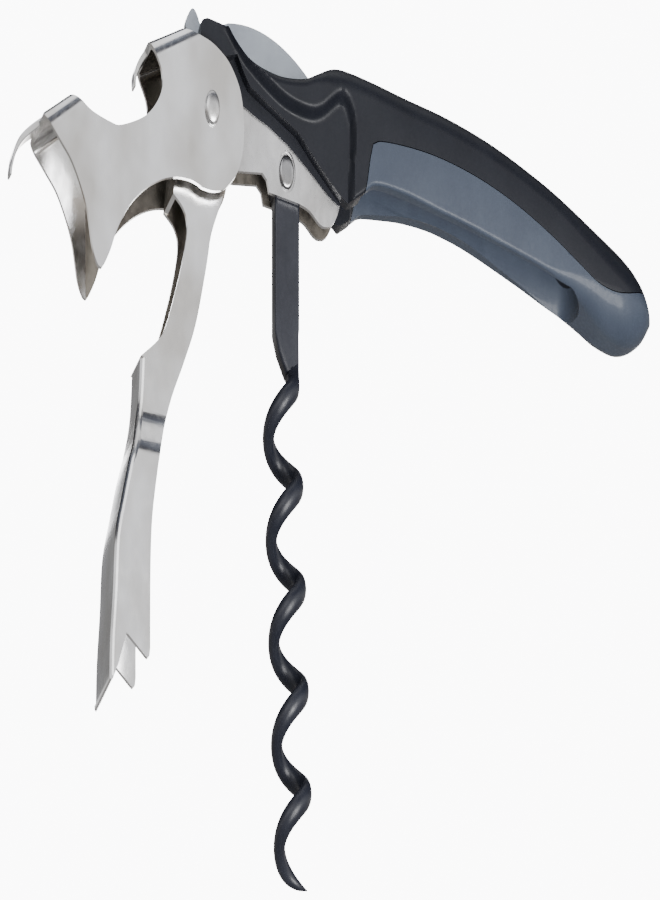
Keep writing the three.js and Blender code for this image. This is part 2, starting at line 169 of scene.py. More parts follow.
def lathe(name, centre, profile, sides=48):
    """A profile of (radius, y), from axis to axis, turned about the Y axis through centre."""
    rings = [[(centre[0] + r * math.cos(2 * math.pi * k / sides), y,
               centre[1] + r * math.sin(2 * math.pi * k / sides)) for k in range(sides)]
             for r, y in profile]
    return loft(name, rings)


def rod(centre, radius, low, high):
    """A round bar along Y."""
    return lathe("rod", centre, [(radius, low), (radius, high)])


def duplicate(obj):
    """A second object with a mesh of its own."""
    twin = obj.copy()
    twin.data = obj.data.copy()
    scene.collection.objects.link(twin)
    return twin


def apply_modifiers(obj):
    """Bakes the object's modifiers into its mesh."""
    graph = bpy.context.evaluated_depsgraph_get()
    mesh = bpy.data.meshes.new_from_object(obj.evaluated_get(graph))
    obj.modifiers.clear()
    old = obj.data
    obj.data = mesh
    bpy.data.meshes.remove(old)


def boolean(obj, operation, *others):
    """Joins to obj, cuts from it or keeps what it shares with each of the others, which are used up."""
    for other in others:
        modifier = obj.modifiers.new("boolean", "BOOLEAN")
        modifier.operation = operation
        modifier.solver = "EXACT"
        modifier.object = other
        apply_modifiers(obj)
        bpy.data.objects.remove(other)


def bend_cutter(path, half, radius, side):
    """What a bend takes off a square corner: the corner runs along a path of (x, z) points at
    Y = side * half(z), with the solid on the right of the path."""
    spare = 0.6
    quarter = [(y - radius, v - radius) for v, y in arc((0, 0), radius, 0, 90, 10)]
    corner = [(spare, spare), (-radius, spare), *quarter, (spare, -radius)]
    rings = []
    for i, (x, z) in enumerate(path):
        before, after = Vector(path[max(i - 1, 0)]), Vector(path[min(i + 1, len(path) - 1)])
        along = (after - before).normalized()
        rings.append([(x - along.y * v, side * (half(z) + y), z + along.x * v) for y, v in corner])
    return loft("bend", rings)


def beyond(a, b, extra):
    """The segment from a to b, longer by extra at both ends."""
    a, b = Vector(a), Vector(b)
    step = (b - a).normalized() * extra
    return [tuple(a - step), tuple(b + step)]


def break_edges(obj, width, angle=38):
    """Takes the sharpness off every edge where the faces turn by more than angle degrees."""
    modifier = obj.modifiers.new("edge", "BEVEL")
    modifier.width = width
    modifier.segments = 2
    modifier.limit_method = "ANGLE"
    modifier.angle_limit = math.radians(angle)
    modifier.harden_normals = True
    obj.data.shade_smooth()
    apply_modifiers(obj)


def finish_piece(obj, name, finish, body, node):
    """Moves a finished mesh into the frame, gives it its finish, hangs it on the body it rides on and
    hides the CAD part it stands for.
    """
    obj.name = name
    obj.data.name = name
    obj.data.transform(TO_FRAME)
    obj.data.materials.clear()
    obj.data.materials.append(finish)
    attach(obj, body)
    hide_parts(node)


def divide(obj, point, direction):
    """Splits the faces that a plane crosses, without changing the shape."""
    bm = bmesh.new()
    bm.from_mesh(obj.data)
    bmesh.ops.bisect_plane(bm, geom=bm.verts[:] + bm.edges[:] + bm.faces[:], dist=1e-4,
                           plane_co=point, plane_no=direction)
    bm.to_mesh(obj.data)
    bm.free()


def paint_inner_shade(obj, from_x=-math.inf, from_z=-math.inf):
    """Gives the sheet faces that look in towards the middle the dull steel whose dark brownish colour is
    painted shade and a painted warm reflection, right of from_x and above from_z."""
    obj.data.materials.append(SHADED_INNER_STEEL)
    to_outline = TO_FRAME.inverted()
    for face in obj.data.polygons:
        here = to_outline @ face.center
        inward = face.center.y * face.normal.y < 0 and abs(face.normal.y) > 0.6
        if inward and here.x > from_x and here.z > from_z:
            face.material_index = 1


# ---------- finishes ----------

class Finish:
    """A Principled material whose colour, roughness and relief come from noise in object space."""

    def __init__(self, name, metallic, specular=0.5, coat=0.0):
        self.material = bpy.data.materials.new(name)
        self.material.use_nodes = True
        self.tree = self.material.node_tree
        self.shader = self.tree.nodes["Principled BSDF"]
        self.shader.inputs["Metallic"].default_value = metallic
        self.shader.inputs["Specular IOR Level"].default_value = specular
        self.shader.inputs["Coat Weight"].default_value = coat
        self.shader.inputs["Coat Roughness"].default_value = 0.15
        self.place = self.tree.nodes.new("ShaderNodeTexCoord").outputs["Object"]
        self.bump = None

    def noise(self, scale, detail=3.0, stretch=(1, 1, 1)):
        mapping = self.tree.nodes.new("ShaderNodeMapping")
        mapping.inputs["Scale"].default_value = stretch
        texture = self.tree.nodes.new("ShaderNodeTexNoise")
        texture.inputs["Scale"].default_value = scale
        texture.inputs["Detail"].default_value = detail
        self.tree.links.new(self.place, mapping.inputs["Vector"])
        self.tree.links.new(mapping.outputs["Vector"], texture.inputs["Vector"])
        return texture.outputs["Fac"]

    def colour(self, source, dark, light):
        blend = self.tree.nodes.new("ShaderNodeValToRGB")
        blend.color_ramp.elements[0].position = 0.35
        blend.color_ramp.elements[0].color = (*dark, 1)
        blend.color_ramp.elements[1].position = 0.65
        blend.color_ramp.elements[1].color = (*light, 1)
        self.tree.links.new(source, blend.inputs["Fac"])
        self.tree.links.new(blend.outputs["Color"], self.shader.inputs["Base Color"])

    def roughness(self, source, low, high):
        spread = self.tree.nodes.new("ShaderNodeMapRange")
        spread.inputs["From Min"].default_value = 0.3
        spread.inputs["From Max"].default_value = 0.7
        spread.inputs["To Min"].default_value = low
        spread.inputs["To Max"].default_value = high
        self.tree.links.new(source, spread.inputs["Value"])
        self.tree.links.new(spread.outputs["Result"], self.shader.inputs["Roughness"])

    def relief(self, source, strength, depth_mm):
        bump = self.tree.nodes.new("ShaderNodeBump")
        bump.inputs["Strength"].default_value = strength
        bump.inputs["Distance"].default_value = depth_mm * MM
        self.tree.links.new(source, bump.inputs["Height"])
        if self.bump:
            self.tree.links.new(self.bump, bump.inputs["Normal"])
        self.bump = bump.outputs["Normal"]
        self.tree.links.new(self.bump, self.shader.inputs["Normal"])


def plated_steel():
    """Nickel-plated pressed steel: an even satin shine over a faint orange peel, with hair scratches."""
    f = Finish("plated_steel", metallic=1.0)
    f.colour(f.noise(110, 2.0), (0.62, 0.605, 0.585), (0.86, 0.865, 0.88))
    f.roughness(f.noise(700), 0.15, 0.26)
    f.relief(f.noise(60, 1.0), 1.0, 0.5)
    f.relief(f.noise(420, 2.0), 0.14, 0.05)
    f.relief(f.noise(800, 4.0, stretch=(1, 1, 9)), 0.08, 0.01)
    return f.material


def worn_steel():
    """The side plates, the lever rivet and the pins: duller than the levers, with small nicks."""
    f = Finish("frame_steel", metallic=1.0)
    f.colour(f.noise(110, 4.0), (0.46, 0.45, 0.44), (0.70, 0.70, 0.71))
    f.roughness(f.noise(900), 0.22, 0.38)
    f.relief(f.noise(60, 1.0), 1.0, 0.45)
    f.relief(f.noise(650, 4.0), 0.4, 0.05)
    return f.material


def painted_shade_steel():
    """The inner faces of the pressings and side plates: dull, and dark and a little brown from painted
    shade and a painted warm reflection.
    """
    f = Finish("inner_steel_painted_shade", metallic=1.0)
    # the dark brownish colour is painted shade with a painted warm reflection, not the steel's own tone
    f.colour(f.noise(140, 4.0), (0.15, 0.135, 0.12), (0.24, 0.22, 0.19))
    f.roughness(f.noise(700), 0.34, 0.5)
    f.relief(f.noise(420, 3.0), 0.3, 0.05)
    return f.material


def rivet_steel():
    """The worm's rivet: darker and smoother than the plates."""
    f = Finish("rivet_steel", metallic=1.0)
    f.colour(f.noise(300, 3.0), (0.26, 0.26, 0.265), (0.40, 0.40, 0.41))
    f.roughness(f.noise(800), 0.16, 0.28)
    f.relief(f.noise(420, 3.0), 0.5, 0.08)
    return f.material


def blade_steel():
    """Bluish steel, ground along the blade's height."""
    f = Finish("blade_steel", metallic=1.0)
    f.colour(f.noise(120), (0.33, 0.36, 0.41), (0.42, 0.46, 0.51))
    f.roughness(f.noise(900, 3.0, stretch=(1, 1, 14)), 0.28, 0.42)
    f.relief(f.noise(1500, 2.0, stretch=(1, 1, 14)), 0.25, 0.01)
    return f.material


def spring_steel():
    f = Finish("spring_steel", metallic=1.0)
    f.colour(f.noise(200), (0.30, 0.30, 0.31), (0.40, 0.40, 0.41))
    f.roughness(f.noise(600), 0.3, 0.45)
    return f.material


def brass():
    f = Finish("brass", metallic=1.0)
    f.colour(f.noise(200), (0.45, 0.33, 0.14), (0.56, 0.43, 0.20))
    f.roughness(f.noise(600), 0.3, 0.45)
    return f.material


def black_plastic():
    """Satin black nylon: very fine grain, slightly blue."""
    f = Finish("black_plastic", metallic=0.0, specular=0.3)
    f.colour(f.noise(150, 4.0), (0.0040, 0.0048, 0.0085), (0.0056, 0.0066, 0.0110))
    f.roughness(f.noise(1800), 0.42, 0.54)
    f.relief(f.noise(2600, 2.0), 0.25, 0.012)
    return f.material


def soft_rubber():
    """Slate-blue soft-touch grip with a dry matt grain."""
    f = Finish("soft_rubber", metallic=0.0, specular=0.35, coat=0.12)
    f.colour(f.noise(220, 4.0), (0.027, 0.036, 0.055), (0.032, 0.042, 0.062))
    f.roughness(f.noise(1500), 0.52, 0.66)
    f.relief(f.noise(2400, 2.0), 0.35, 0.015)
    return f.material


def worm_coating():
    """Charcoal non-stick coating on the worm."""
    f = Finish("worm_coating", metallic=0.0, specular=0.42)
    f.colour(f.noise(260, 4.0), (0.0080, 0.0092, 0.0155), (0.0120, 0.0135, 0.0205))
    f.roughness(f.noise(1300), 0.34, 0.46)
    f.relief(f.noise(1900, 3.0), 0.3, 0.012)
    return f.material


STEEL, FRAME_STEEL, BLADE = plated_steel(), worn_steel(), blade_steel()
# the inner steel carries painted shade and a painted warm reflection for faces that look inwards
RIVET_STEEL, SHADED_INNER_STEEL = rivet_steel(), painted_shade_steel()
SPRING, BRASS = spring_steel(), brass()
BLACK, GRIP, COATING = black_plastic(), soft_rubber(), worm_coating()


# ---------- boot lever ----------

BOOT_LEFT_WEB = [(-40.0, -3.15), (-34.8, -1.29)]
BOOT_RIGHT_WEB = [(-15.0, 5.75), (-7.1, 7.75)]
BOOT_DISC = smooth([(-2.7, 7.0), (-0.4, 6.6), (1.6, 6.0), (3.9, 5.0), (5.7, 3.6), (6.9, 2.1), (7.6, 0.0),
                    (7.7, -2.2), (7.2, -4.1), (6.2, -5.7), (4.9, -6.7), (2.9, -7.7), (0.3, -8.1),
                    (-2.4, -8.0)])


def claw(path, root_half, tip_half):
    """A strip of sheet bent along a path of (x, z) points, narrower and thinner at its tip."""
    curve = smooth(path, 0.35)
    edge = 0.12
    rings = []
    for i, (x, z) in enumerate(curve):
        a, b = Vector(curve[max(i - 1, 0)]), Vector(curve[min(i + 1, len(curve) - 1)])
        along = (b - a).normalized()
        nx, nz = -along.y, along.x
        t = i / (len(curve) - 1)
        half = mix(root_half, tip_half, t ** 0.8)
        thin = mix(SHEET, SHEET * 0.55, ramp(0.6, 1, t)) / 2
        ring = [(thin, half - edge), (thin - edge, half), (edge - thin, half), (-thin, half - edge)]
        ring += [(-n, -h) for n, h in ring]
        rings.append([(x + nx * n, h, z + nz * n) for n, h in ring])
    return loft("claw", rings)


def boot_lever():
    """A bent-sheet channel: two cheeks joined by a web at the foot and a web beside the disc."""
    notch = smooth([(-34.1, -1.12), (-33.3, -1.2), (-31.8, -1.65), (-29.1, -2.6), (-24.6, -3.35),
                    (-21.8, -3.4), (-15.8, -1.9), (-12.4, 0.5), (-12.2, 2.8), (-14.6, 5.4)])
    arch = smooth([(-3.3, -7.75), (-5.5, -7.45), (-9.0, -7.5), (-12.6, -8.1), (-16.3, -9.3),
                   (-19.8, -11.1), (-22.8, -13.6), (-24.6, -16.0), (-26.2, -17.6), (-26.9, -17.95)])
    inner_side = smooth([(-27.5, -17.8), (-28.1, -17.3), (-29.0, -16.0), (-30.2, -12.6), (-31.8, -10.2),
                         (-34.0, -7.9), (-36.6, -6.2), (-40.1, -4.0), (-40.4, -3.6), (-40.3, -3.3)])
    outline = [*BOOT_LEFT_WEB, *notch, *BOOT_RIGHT_WEB, (-4.6, 7.35), *BOOT_DISC, *arch, *inner_side]
    body = prism("boot", outline, -BOOT_HALF, BOOT_HALF)
    room = BOOT_HALF - SHEET
    for web in (BOOT_LEFT_WEB, BOOT_RIGHT_WEB):
        boolean(body, "DIFFERENCE", *(bend_cutter(beyond(*web, 4), lambda z: BOOT_HALF, BEND_OUTER, side)
                                      for side in (-1, 1)))
    left_ceiling = [(-50, -7.6), (-33, -1.49)]
    right_ceiling = [(-20, 3.66), (-6.6, 7.05)]
    hollow = prism("hollow", [*left_ceiling, (-33, 12), (-20, 12), *right_ceiling,
                              (-6.6, 12), (15, 12), (15, -25), (-50, -25)], -room, room)
    for ceiling in (left_ceiling, right_ceiling):
        boolean(hollow, "DIFFERENCE", *(bend_cutter(ceiling, lambda z: room, BEND_INNER, side)
                                        for side in (-1, 1)))
    boolean(body, "DIFFERENCE", hollow, rod((0, 0), RIVET_HOLE_R, -CLEAR, CLEAR))
    front = [(-37.6, -2.72), (-40.3, -3.55), (-43.1, -4.6), (-45.0, -5.6), (-46.2, -6.8), (-46.9, -8.1),
             (-47.1, -9.0)]
    rear = [(-12.6, 5.95), (-14.4, 5.5), (-15.6, 4.8), (-16.5, 3.95), (-17.0, 3.1), (-17.0, 2.2)]
    boolean(body, "UNION", claw(front, 2.3, 1.15), claw(rear, 2.3, 1.1))
    break_edges(body, PRESSED_EDGE)
    divide(body, (BOOT_SHADE_FROM, 0, 0), (1, 0, 0))
    finish_piece(body, "boot_lever_pressing", STEEL, "boot", "boot_lever")
    # the inward faces beyond the foot get painted shade
    paint_inner_shade(body, from_x=BOOT_SHADE_FROM)


# ---------- long lever ----------

STEP_TOP, STEP_BOTTOM = -30.4, -35.4


def long_half(z):
    """Half width of the long lever, outside: the sides step out where the forked end begins."""
    return mix(LONG_WIDE_HALF, LONG_NARROW_HALF, ramp(STEP_BOTTOM, STEP_TOP, z))


def flared(name, outline, inset):
    """A prism whose side faces follow long_half(z), inset by so much."""
    obj = prism(name, outline, -1, 1)
    bm = bmesh.new()
    bm.from_mesh(obj.data)
    cuts, cut_spacing = 11, 0.54
    for k in range(cuts):
        level = STEP_TOP + 0.2 - cut_spacing * k
        bmesh.ops.bisect_plane(bm, geom=bm.verts[:] + bm.edges[:] + bm.faces[:], dist=1e-4,
                               plane_co=(0, 0, level), plane_no=(0, 0, 1))
    for v in bm.verts:
        v.co.y = math.copysign(long_half(v.co.z) - inset, v.co.y)
    bmesh.ops.triangulate(bm, faces=[f for f in bm.faces if len(f.verts) > 4])
    bm.to_mesh(obj.data)
    bm.free()
    return obj


def long_lever():
    """A bent-sheet channel, open to the right, with forked ends to its two cheeks."""
    lip_notch = smooth([(-8.7, -8.5), (-6.2, -9.8), (-5.3, -11.6), (-6.3, -14.7), (-8.2, -18.2),
                        (-10.6, -21.9), (-12.6, -23.4), (-16.6, -25.2)])
    back = smooth([(-16.6, -25.2), (-17.1, -29.5), (-18.4, -33.5), (-19.6, -35.6), (-21.5, -39.7),
                   (-23.2, -43.7), (-23.8, -49.1), (-24.5, -54.0), (-24.7, -57.9)], 1.2)
    right = smooth([(-14.9, -54.5), (-14.9, -51.1), (-14.8, -45.8), (-14.4, -41.5), (-13.4, -37.7),
                    (-12.5, -35.0), (-11.3, -32.4), (-9.0, -28.6), (-6.1, -25.0), (-3.2, -20.9),
                    (-0.6, -14.9), (0.5, -11.8), (3.1, -8.2), (3.9, -6.7)], 1.2)
    hub = arc((0, 0), 5.8, -36, 200)
    fork = [(-24.65, -58.25), (-24.3, -58.45), (-23.9, -58.2), (-22.6, -56.6), (-20.6, -53.4),
            (-16.1, -55.35), (-15.6, -55.5), (-15.1, -55.25)]
    outline = [*hub, (-7.5, -4.4), *lip_notch[:-1], *back, *fork, *right]
    body = flared("long", outline, 0.0)
    boolean(body, "DIFFERENCE", *(bend_cutter(list(reversed(back)), long_half, LONG_BEND, side)
                                  for side in (-1, 1)))
    inner_back = [(x + SHEET, z - 0.1) for x, z in back]
    hollow = flared("hollow", [(-30, -25.2), (-15.8, -25.2), *inner_back[1:], (-23.9, -62), (10, -62),
                               (10, 20), (-30, 20)], SHEET)
    boolean(body, "DIFFERENCE", hollow, rod((0, 0), RIVET_HOLE_R, -CLEAR, CLEAR))
    lip_half = LONG_NARROW_HALF - 0.1
    lip = prism("lip", [(-8.7, -8.5), (-7.9, -8.7), (-6.6, -4.8), (-7.4, -4.5)], -lip_half, lip_half)
    boolean(body, "UNION", lip)
    break_edges(body, PRESSED_EDGE)
    divide(body, (0, 0, LONG_SHADE_FROM), (0, 0, 1))
    finish_piece(body, "long_lever_pressing", STEEL, "long_arm", "long_lever")
    # the inward faces below the fork get painted shade
    paint_inner_shade(body, from_z=LONG_SHADE_FROM)


# ---------- frame plates and rivets ----------

PIN_HOLES = ((40.5, 2.2), (30.6, -0.3))
RIM_R, RIM_DEPTH = 2.0, 0.42


def liners():
    """The two side plates, each with a sunk ring round the worm's rivet."""
    outline = [*arc((0, 0), 5.2, 150, 302), (7.7, -4.6), (13.3, -4.3), (14.4, -4.9), (14.9, -6.1),
               *smooth([(22.0, -6.6), (24.7, -7.1), (27.1, -8.2), (28.6, -8.4), (30.3, -8.0),
                        (31.9, -6.2), (33.4, -2.0), (36.0, 0.2)]),
               (42.4, 0.4), (43.4, 1.6), (43.2, 3.4), (41.6, 4.1), (14.0, 4.1), (8.4, 5.2), (6.6, 7.6),
               (3.6, 8.7), (-1.2, 8.8), (-2.8, 7.4)]
    for name, side in (("liner_front", -1), ("liner_back", 1)):
        plate = prism(name, outline, *sorted((side * LINER_INNER, side * LINER_OUTER)))
        holes = [(at, RIVET_HOLE_R) for at in ((0, 0), WORM_PIVOT, *PIN_HOLES)]
        holes.append((KNIFE_PIVOT, KNIFE_HOLE_R))
        boolean(plate, "DIFFERENCE", *(rod(at, r, -CLEAR, CLEAR) for at, r in holes))
        floor, above = side * (LINER_OUTER - RIM_DEPTH), side * (LINER_OUTER + 0.3)
        rim = [(0.5, floor), (RIM_R, floor), (RIM_R + 0.15, above), (0.5, above)]
        boolean(plate, "DIFFERENCE", lathe("rim", WORM_PIVOT, rim))
        break_edges(plate, PLATE_EDGE)
        finish_piece(plate, name + "_plate", FRAME_STEEL, "handle", name)
        # the plate's inward faces get painted shade
        paint_inner_shade(plate)


def rivet(name, centre, seat, dome, finish, node):
    """A riveted pin: two low domes with rolled edges on one shaft."""
    edge, wall = 0.28, 0.12
    crown = [(RIVET_HEAD_R - edge * (1 - math.cos(t)), seat + wall + edge * math.sin(t))
             for t in (math.radians(a) for a in range(0, 61, 12))]
    top_r, top_y = crown[-1]
    rise = seat + dome - top_y
    cap = [(top_r * math.cos(t), top_y + rise * math.sin(t))
           for t in (math.radians(a) for a in range(10, 90, 10))]
    half = [(RIVET_R, 0.0), (RIVET_R, seat), (RIVET_HEAD_R, seat), *crown, *cap, (0.02, seat + dome)]
    profile = [(r, -y) for r, y in reversed(half)] + half[1:]
    obj = lathe(name, centre, profile)
    obj.data.shade_smooth()
    obj.data.set_sharp_from_angle(angle=math.radians(50))
    finish_piece(obj, name, finish, "handle", node)


# ---------- worm ----------

def helix_point(turn, radius=HELIX_R):
    """The point so many turns down the leaning helix."""
    along = Vector((math.sin(HELIX_LEAN), 0, -math.cos(HELIX_LEAN)))
    across = Vector((math.cos(HELIX_LEAN), 0, math.sin(HELIX_LEAN)))
    angle = 2 * math.pi * turn
    top = Vector((HELIX_TOP[0], 0, HELIX_TOP[1]))
    return (top + along * (HELIX_PITCH * turn) + across * (radius * math.cos(angle))
            - Vector((0, radius * math.sin(angle), 0)))


def shank_stations():
    """The flat bar, then the stretch where its left edge slopes in. A station is a centre, two half
    widths and how square the section is: 2 is an ellipse, 9 nearly a rectangle."""
    flat, round_off = 9.0, 2.6
    stations = [(Vector((19.7, 0, z)), 3.0, SHANK_HALF, flat) for z in (-3.4, -8, -12, -16, -19.0)]
    for z in (-20.2, -21.4, -22.6):
        t = (-19.2 - z) / 4.7
        left, right = mix(16.7, 20.4, t), mix(22.7, 22.95, t)
        stations.append((Vector(((left + right) / 2, 0, z)), (right - left) / 2,
                         mix(SHANK_HALF, NECK_HALF, t), mix(flat, round_off, t)))
    start, joint = stations[-1][0], helix_point(JOIN_TURN)
    out = Vector((0.9, 0, -2.6))
    into = (helix_point(JOIN_TURN + 0.01) - helix_point(JOIN_TURN - 0.01)) / 0.02 * 0.13
    neck_width = stations[-1][1]
    steps = 8
    for k in range(1, steps):
        t = k / steps
        centre = (start * (2 * t ** 3 - 3 * t ** 2 + 1) + out * (t ** 3 - 2 * t ** 2 + t)
                  + joint * (3 * t ** 2 - 2 * t ** 3) + into * (t ** 3 - t ** 2))
        stations.append((centre, mix(neck_width, WIRE_R, ramp(0, 0.6, t)), mix(NECK_HALF, WIRE_R, t),
                         mix(round_off, 2.0, t)))
    return stations


def wire_stations():
    """The round wire down the helix, drawn out to a point that runs along its outer side."""
    stations = []
    rings_per_turn = 44
    steps = round((HELIX_TURNS - JOIN_TURN) * rings_per_turn)
    for k in range(steps + 1):
        turn = mix(JOIN_TURN, HELIX_TURNS, k / steps)
        left = max((HELIX_TURNS - turn) / POINT_TURNS, 0)
        r = WIRE_R * (1 if left >= 1 else max(math.sin(left * math.pi / 2) ** 0.9, 0.05))
        stations.append((helix_point(turn, HELIX_R + 0.8 * (WIRE_R - r)), r, r, 2.0))
    return stations


def worm():
    """One sweep: a flat shank turning into a round wire with a sharp point, and a hub with its hole."""
    stations = shank_stations() + wire_stations()
    rings = []
    sides = 40
    for i, (centre, a, b, power) in enumerate(stations):
        before, after = stations[max(i - 1, 0)][0], stations[min(i + 1, len(stations) - 1)][0]
        tangent = (after - before).normalized()
        n1 = (Vector((1, 0, 0)) - tangent * tangent.x).normalized()
        n2 = tangent.cross(n1)
        ring = []
        for k in range(sides):
            t = 2 * math.pi * k / sides
            c, s = math.cos(t), math.sin(t)
            ring.append(centre + n1 * (a * math.copysign(abs(c) ** (2 / power), c))
                        + n2 * (b * math.copysign(abs(s) ** (2 / power), s)))
        rings.append(ring)
    body = loft("worm", rings)
    boolean(body, "UNION", rod(WORM_PIVOT, HUB_R, -SHANK_HALF, SHANK_HALF))
    boolean(body, "DIFFERENCE", rod(WORM_PIVOT, HUB_HOLE_R, -CLEAR, CLEAR))
    body.data.shade_smooth()
    body.data.set_sharp_from_angle(angle=math.radians(42))
    finish_piece(body, "worm_screw", COATING, "screw", "worm")


# ---------- foil blade ----------

def foil_blade():
    """Thumb tab, arched back and a cutting edge ground from both sides."""
    tab = smooth([(-2.0, 7.5), (-3.6, 8.3), (-4.7, 9.2), (-4.5, 9.95), (-3.8, 10.75), (-3.04, 11.15),
                  (-2.3, 10.95), (-1.6, 10.3), (-0.9, 9.6), (1.2, 9.7), (3.4, 9.9)], 0.4)
    centre, radius = (8.6, -25.3), 35.8
    start, end = (math.degrees(math.acos((x - centre[0]) / radius)) for x in (5.6, 32.0))
    spine = arc(centre, radius, start, end, 1.5)
    edge = smooth([(32.4, 1.0), (29.0, 1.9), (20.0, 2.5), (12.0, 3.2), (5.0, 4.9), (2.6, 5.3),
                   (0.4, 5.2), (-0.9, 6.3)], 0.8)
    blade = prism("blade", [*tab, *spine, *edge], -KNIFE_HALF, KNIFE_HALF)
    ground_from, ground_width, edge_half = 4.5, 2.8, 0.06
    outside = KNIFE_HALF + 0.65
    section = [(-0.6, edge_half), (-0.6, outside), (ground_width, outside), (ground_width, KNIFE_HALF)]
    xs = [ground_from - 0.1, *(x for x, z in reversed(edge) if x > ground_from), 34.0]
    for side in (-1, 1):
        wedge = loft("wedge", [[(x, side * y, height(edge, x) + dz) for dz, y in section] for x in xs])
        boolean(blade, "DIFFERENCE", wedge)
    boolean(blade, "DIFFERENCE", rod(KNIFE_PIVOT, KNIFE_HOLE_R, -CLEAR, CLEAR))
    break_edges(blade, BLADE_EDGE, angle=30)
    finish_piece(blade, "foil_blade_ground", BLADE, "knife", "foil_blade")


# ---------- handle ----------

HANDLE_TOP = [(-2.4, 8.3), (-2.0, 8.95), (-0.8, 9.2), (1.0, 9.05), (3.4, 8.8),
              *smooth([(4.2, 8.5), (5.4, 7.6), (7.4, 6.5), (10.5, 5.5), (14.4, 4.9), (18.0, 4.7),
                       (22.4, 4.95), (25.4, 5.65), (28.6, 6.65), (31.0, 7.0), (34.8, 6.8)]),
              *smooth([(34.8, 6.8), (40.0, 6.3), (46.4, 5.6), (57.5, 4.4), (68.7, 2.6), (79.8, 0.1),
                       (90.9, -2.8), (99.7, -5.35), (104.4, -7.2), (107.0, -9.5), (107.6, -11.2)])]
HANDLE_BOTTOM = [*arc((0, 0), 6.4, 112, 62), (6.4, 6.2), (7.9, 4.6), (9.4, 3.3), (12.2, 2.4),
                 (15.0, 1.6), (21.2, -0.35), (25.6, -2.8), (29.6, -4.9), (31.8, -5.9), (33.2, -6.4),
                 (34.4, -6.2),
                 *smooth([(36.6, -5.4), (39.6, -4.35), (46.6, -4.6), (55.0, -5.6), (63.3, -6.6),
                          (71.7, -7.8), (80.0, -9.0), (85.5, -10.1), (88.6, -10.9), (91.7, -11.9),
                          (95.4, -13.2), (99.5, -13.95), (103.0, -13.7), (105.8, -12.7), (107.6, -11.2)])]
SHOULDER = smooth([(3.7, 8.4), (7.4, 5.9), (12.2, 3.8), (17.8, 2.0), (23.3, 1.3), (26.7, 1.7),
                   (31.4, 3.5), (33.5, 2.0), (33.9, -0.4), (33.6, -3.0), (33.2, -8.2)], 0.5)
SEAM = smooth([(36.0, -7.4), (37.4, -4.4), (38.5, -1.2), (40.2, -0.1), (48.9, -0.1), (57.1, -0.7),
               (65.6, -1.9), (73.8, -3.6), (82.2, -5.9), (88.9, -8.1), (93.2, -9.5), (97.2, -10.1),
               (100.5, -10.0), (104.2, -9.3), (112.0, -7.6)], 1.0)
# a thin lip that each shell reaches down with beside the frame, clear of the folded levers
SHELL_LIP = [(3.0, 5.8), (5.2, 4.3), (6.8, 2.9), (7.6, 2.2), (8.4, 1.8), (11.7, 0.9), (14.5, 0.3),
             (19.6, -1.3), (24.6, -3.4), (29.1, -5.4), (31.6, -6.2), (32.6, -5.6), (30.0, -3.5),
             (22.0, 0.8), (15.0, 3.4), (9.0, 4.6), (6.8, 6.6), (4.4, 7.4), (3.0, 7.4)]
# the sunk land of the shells, on the head's side of the shoulder
LAND = [*SHOULDER, (33.2, -20), (-20, -20), (-20, 20), (3.7, 20)]
LAND_END = 37


def inside(polygon, x, z):
    """Whether a point lies in a polygon, by counting the edges to its right."""
    odd = False
    for (x0, z0), (x1, z1) in zip(polygon, polygon[1:] + polygon[:1]):
        if (z0 > z) != (z1 > z) and x < x0 + (z - z0) * (x1 - x0) / (z1 - z0):
            odd = not odd
    return odd


def side_limit(x, z):
    """How far the handle's side reaches out: less on the land that the levers fold over."""
    if x > LAND_END:
        return HANDLE_HALF
    here = Vector((x, z))
    gap = math.inf
    for a, b in zip(SHOULDER, SHOULDER[1:]):
        a, b = Vector(a), Vector(b)
        t = min(max((here - a).dot(b - a) / (b - a).length_squared, 0), 1)
        gap = min(gap, (here - a - (b - a) * t).length)
    if inside(LAND, x, z):
        gap = -gap
    return mix(LAND_HALF, HANDLE_HALF, ramp(-0.35, 1.0, gap))


def far_rim_rise(x):
    """The groove's far edge is arched a little higher than its near edge."""
    return 1.45 * ramp(39, 58, x) * (1 - ramp(60, 94, x))


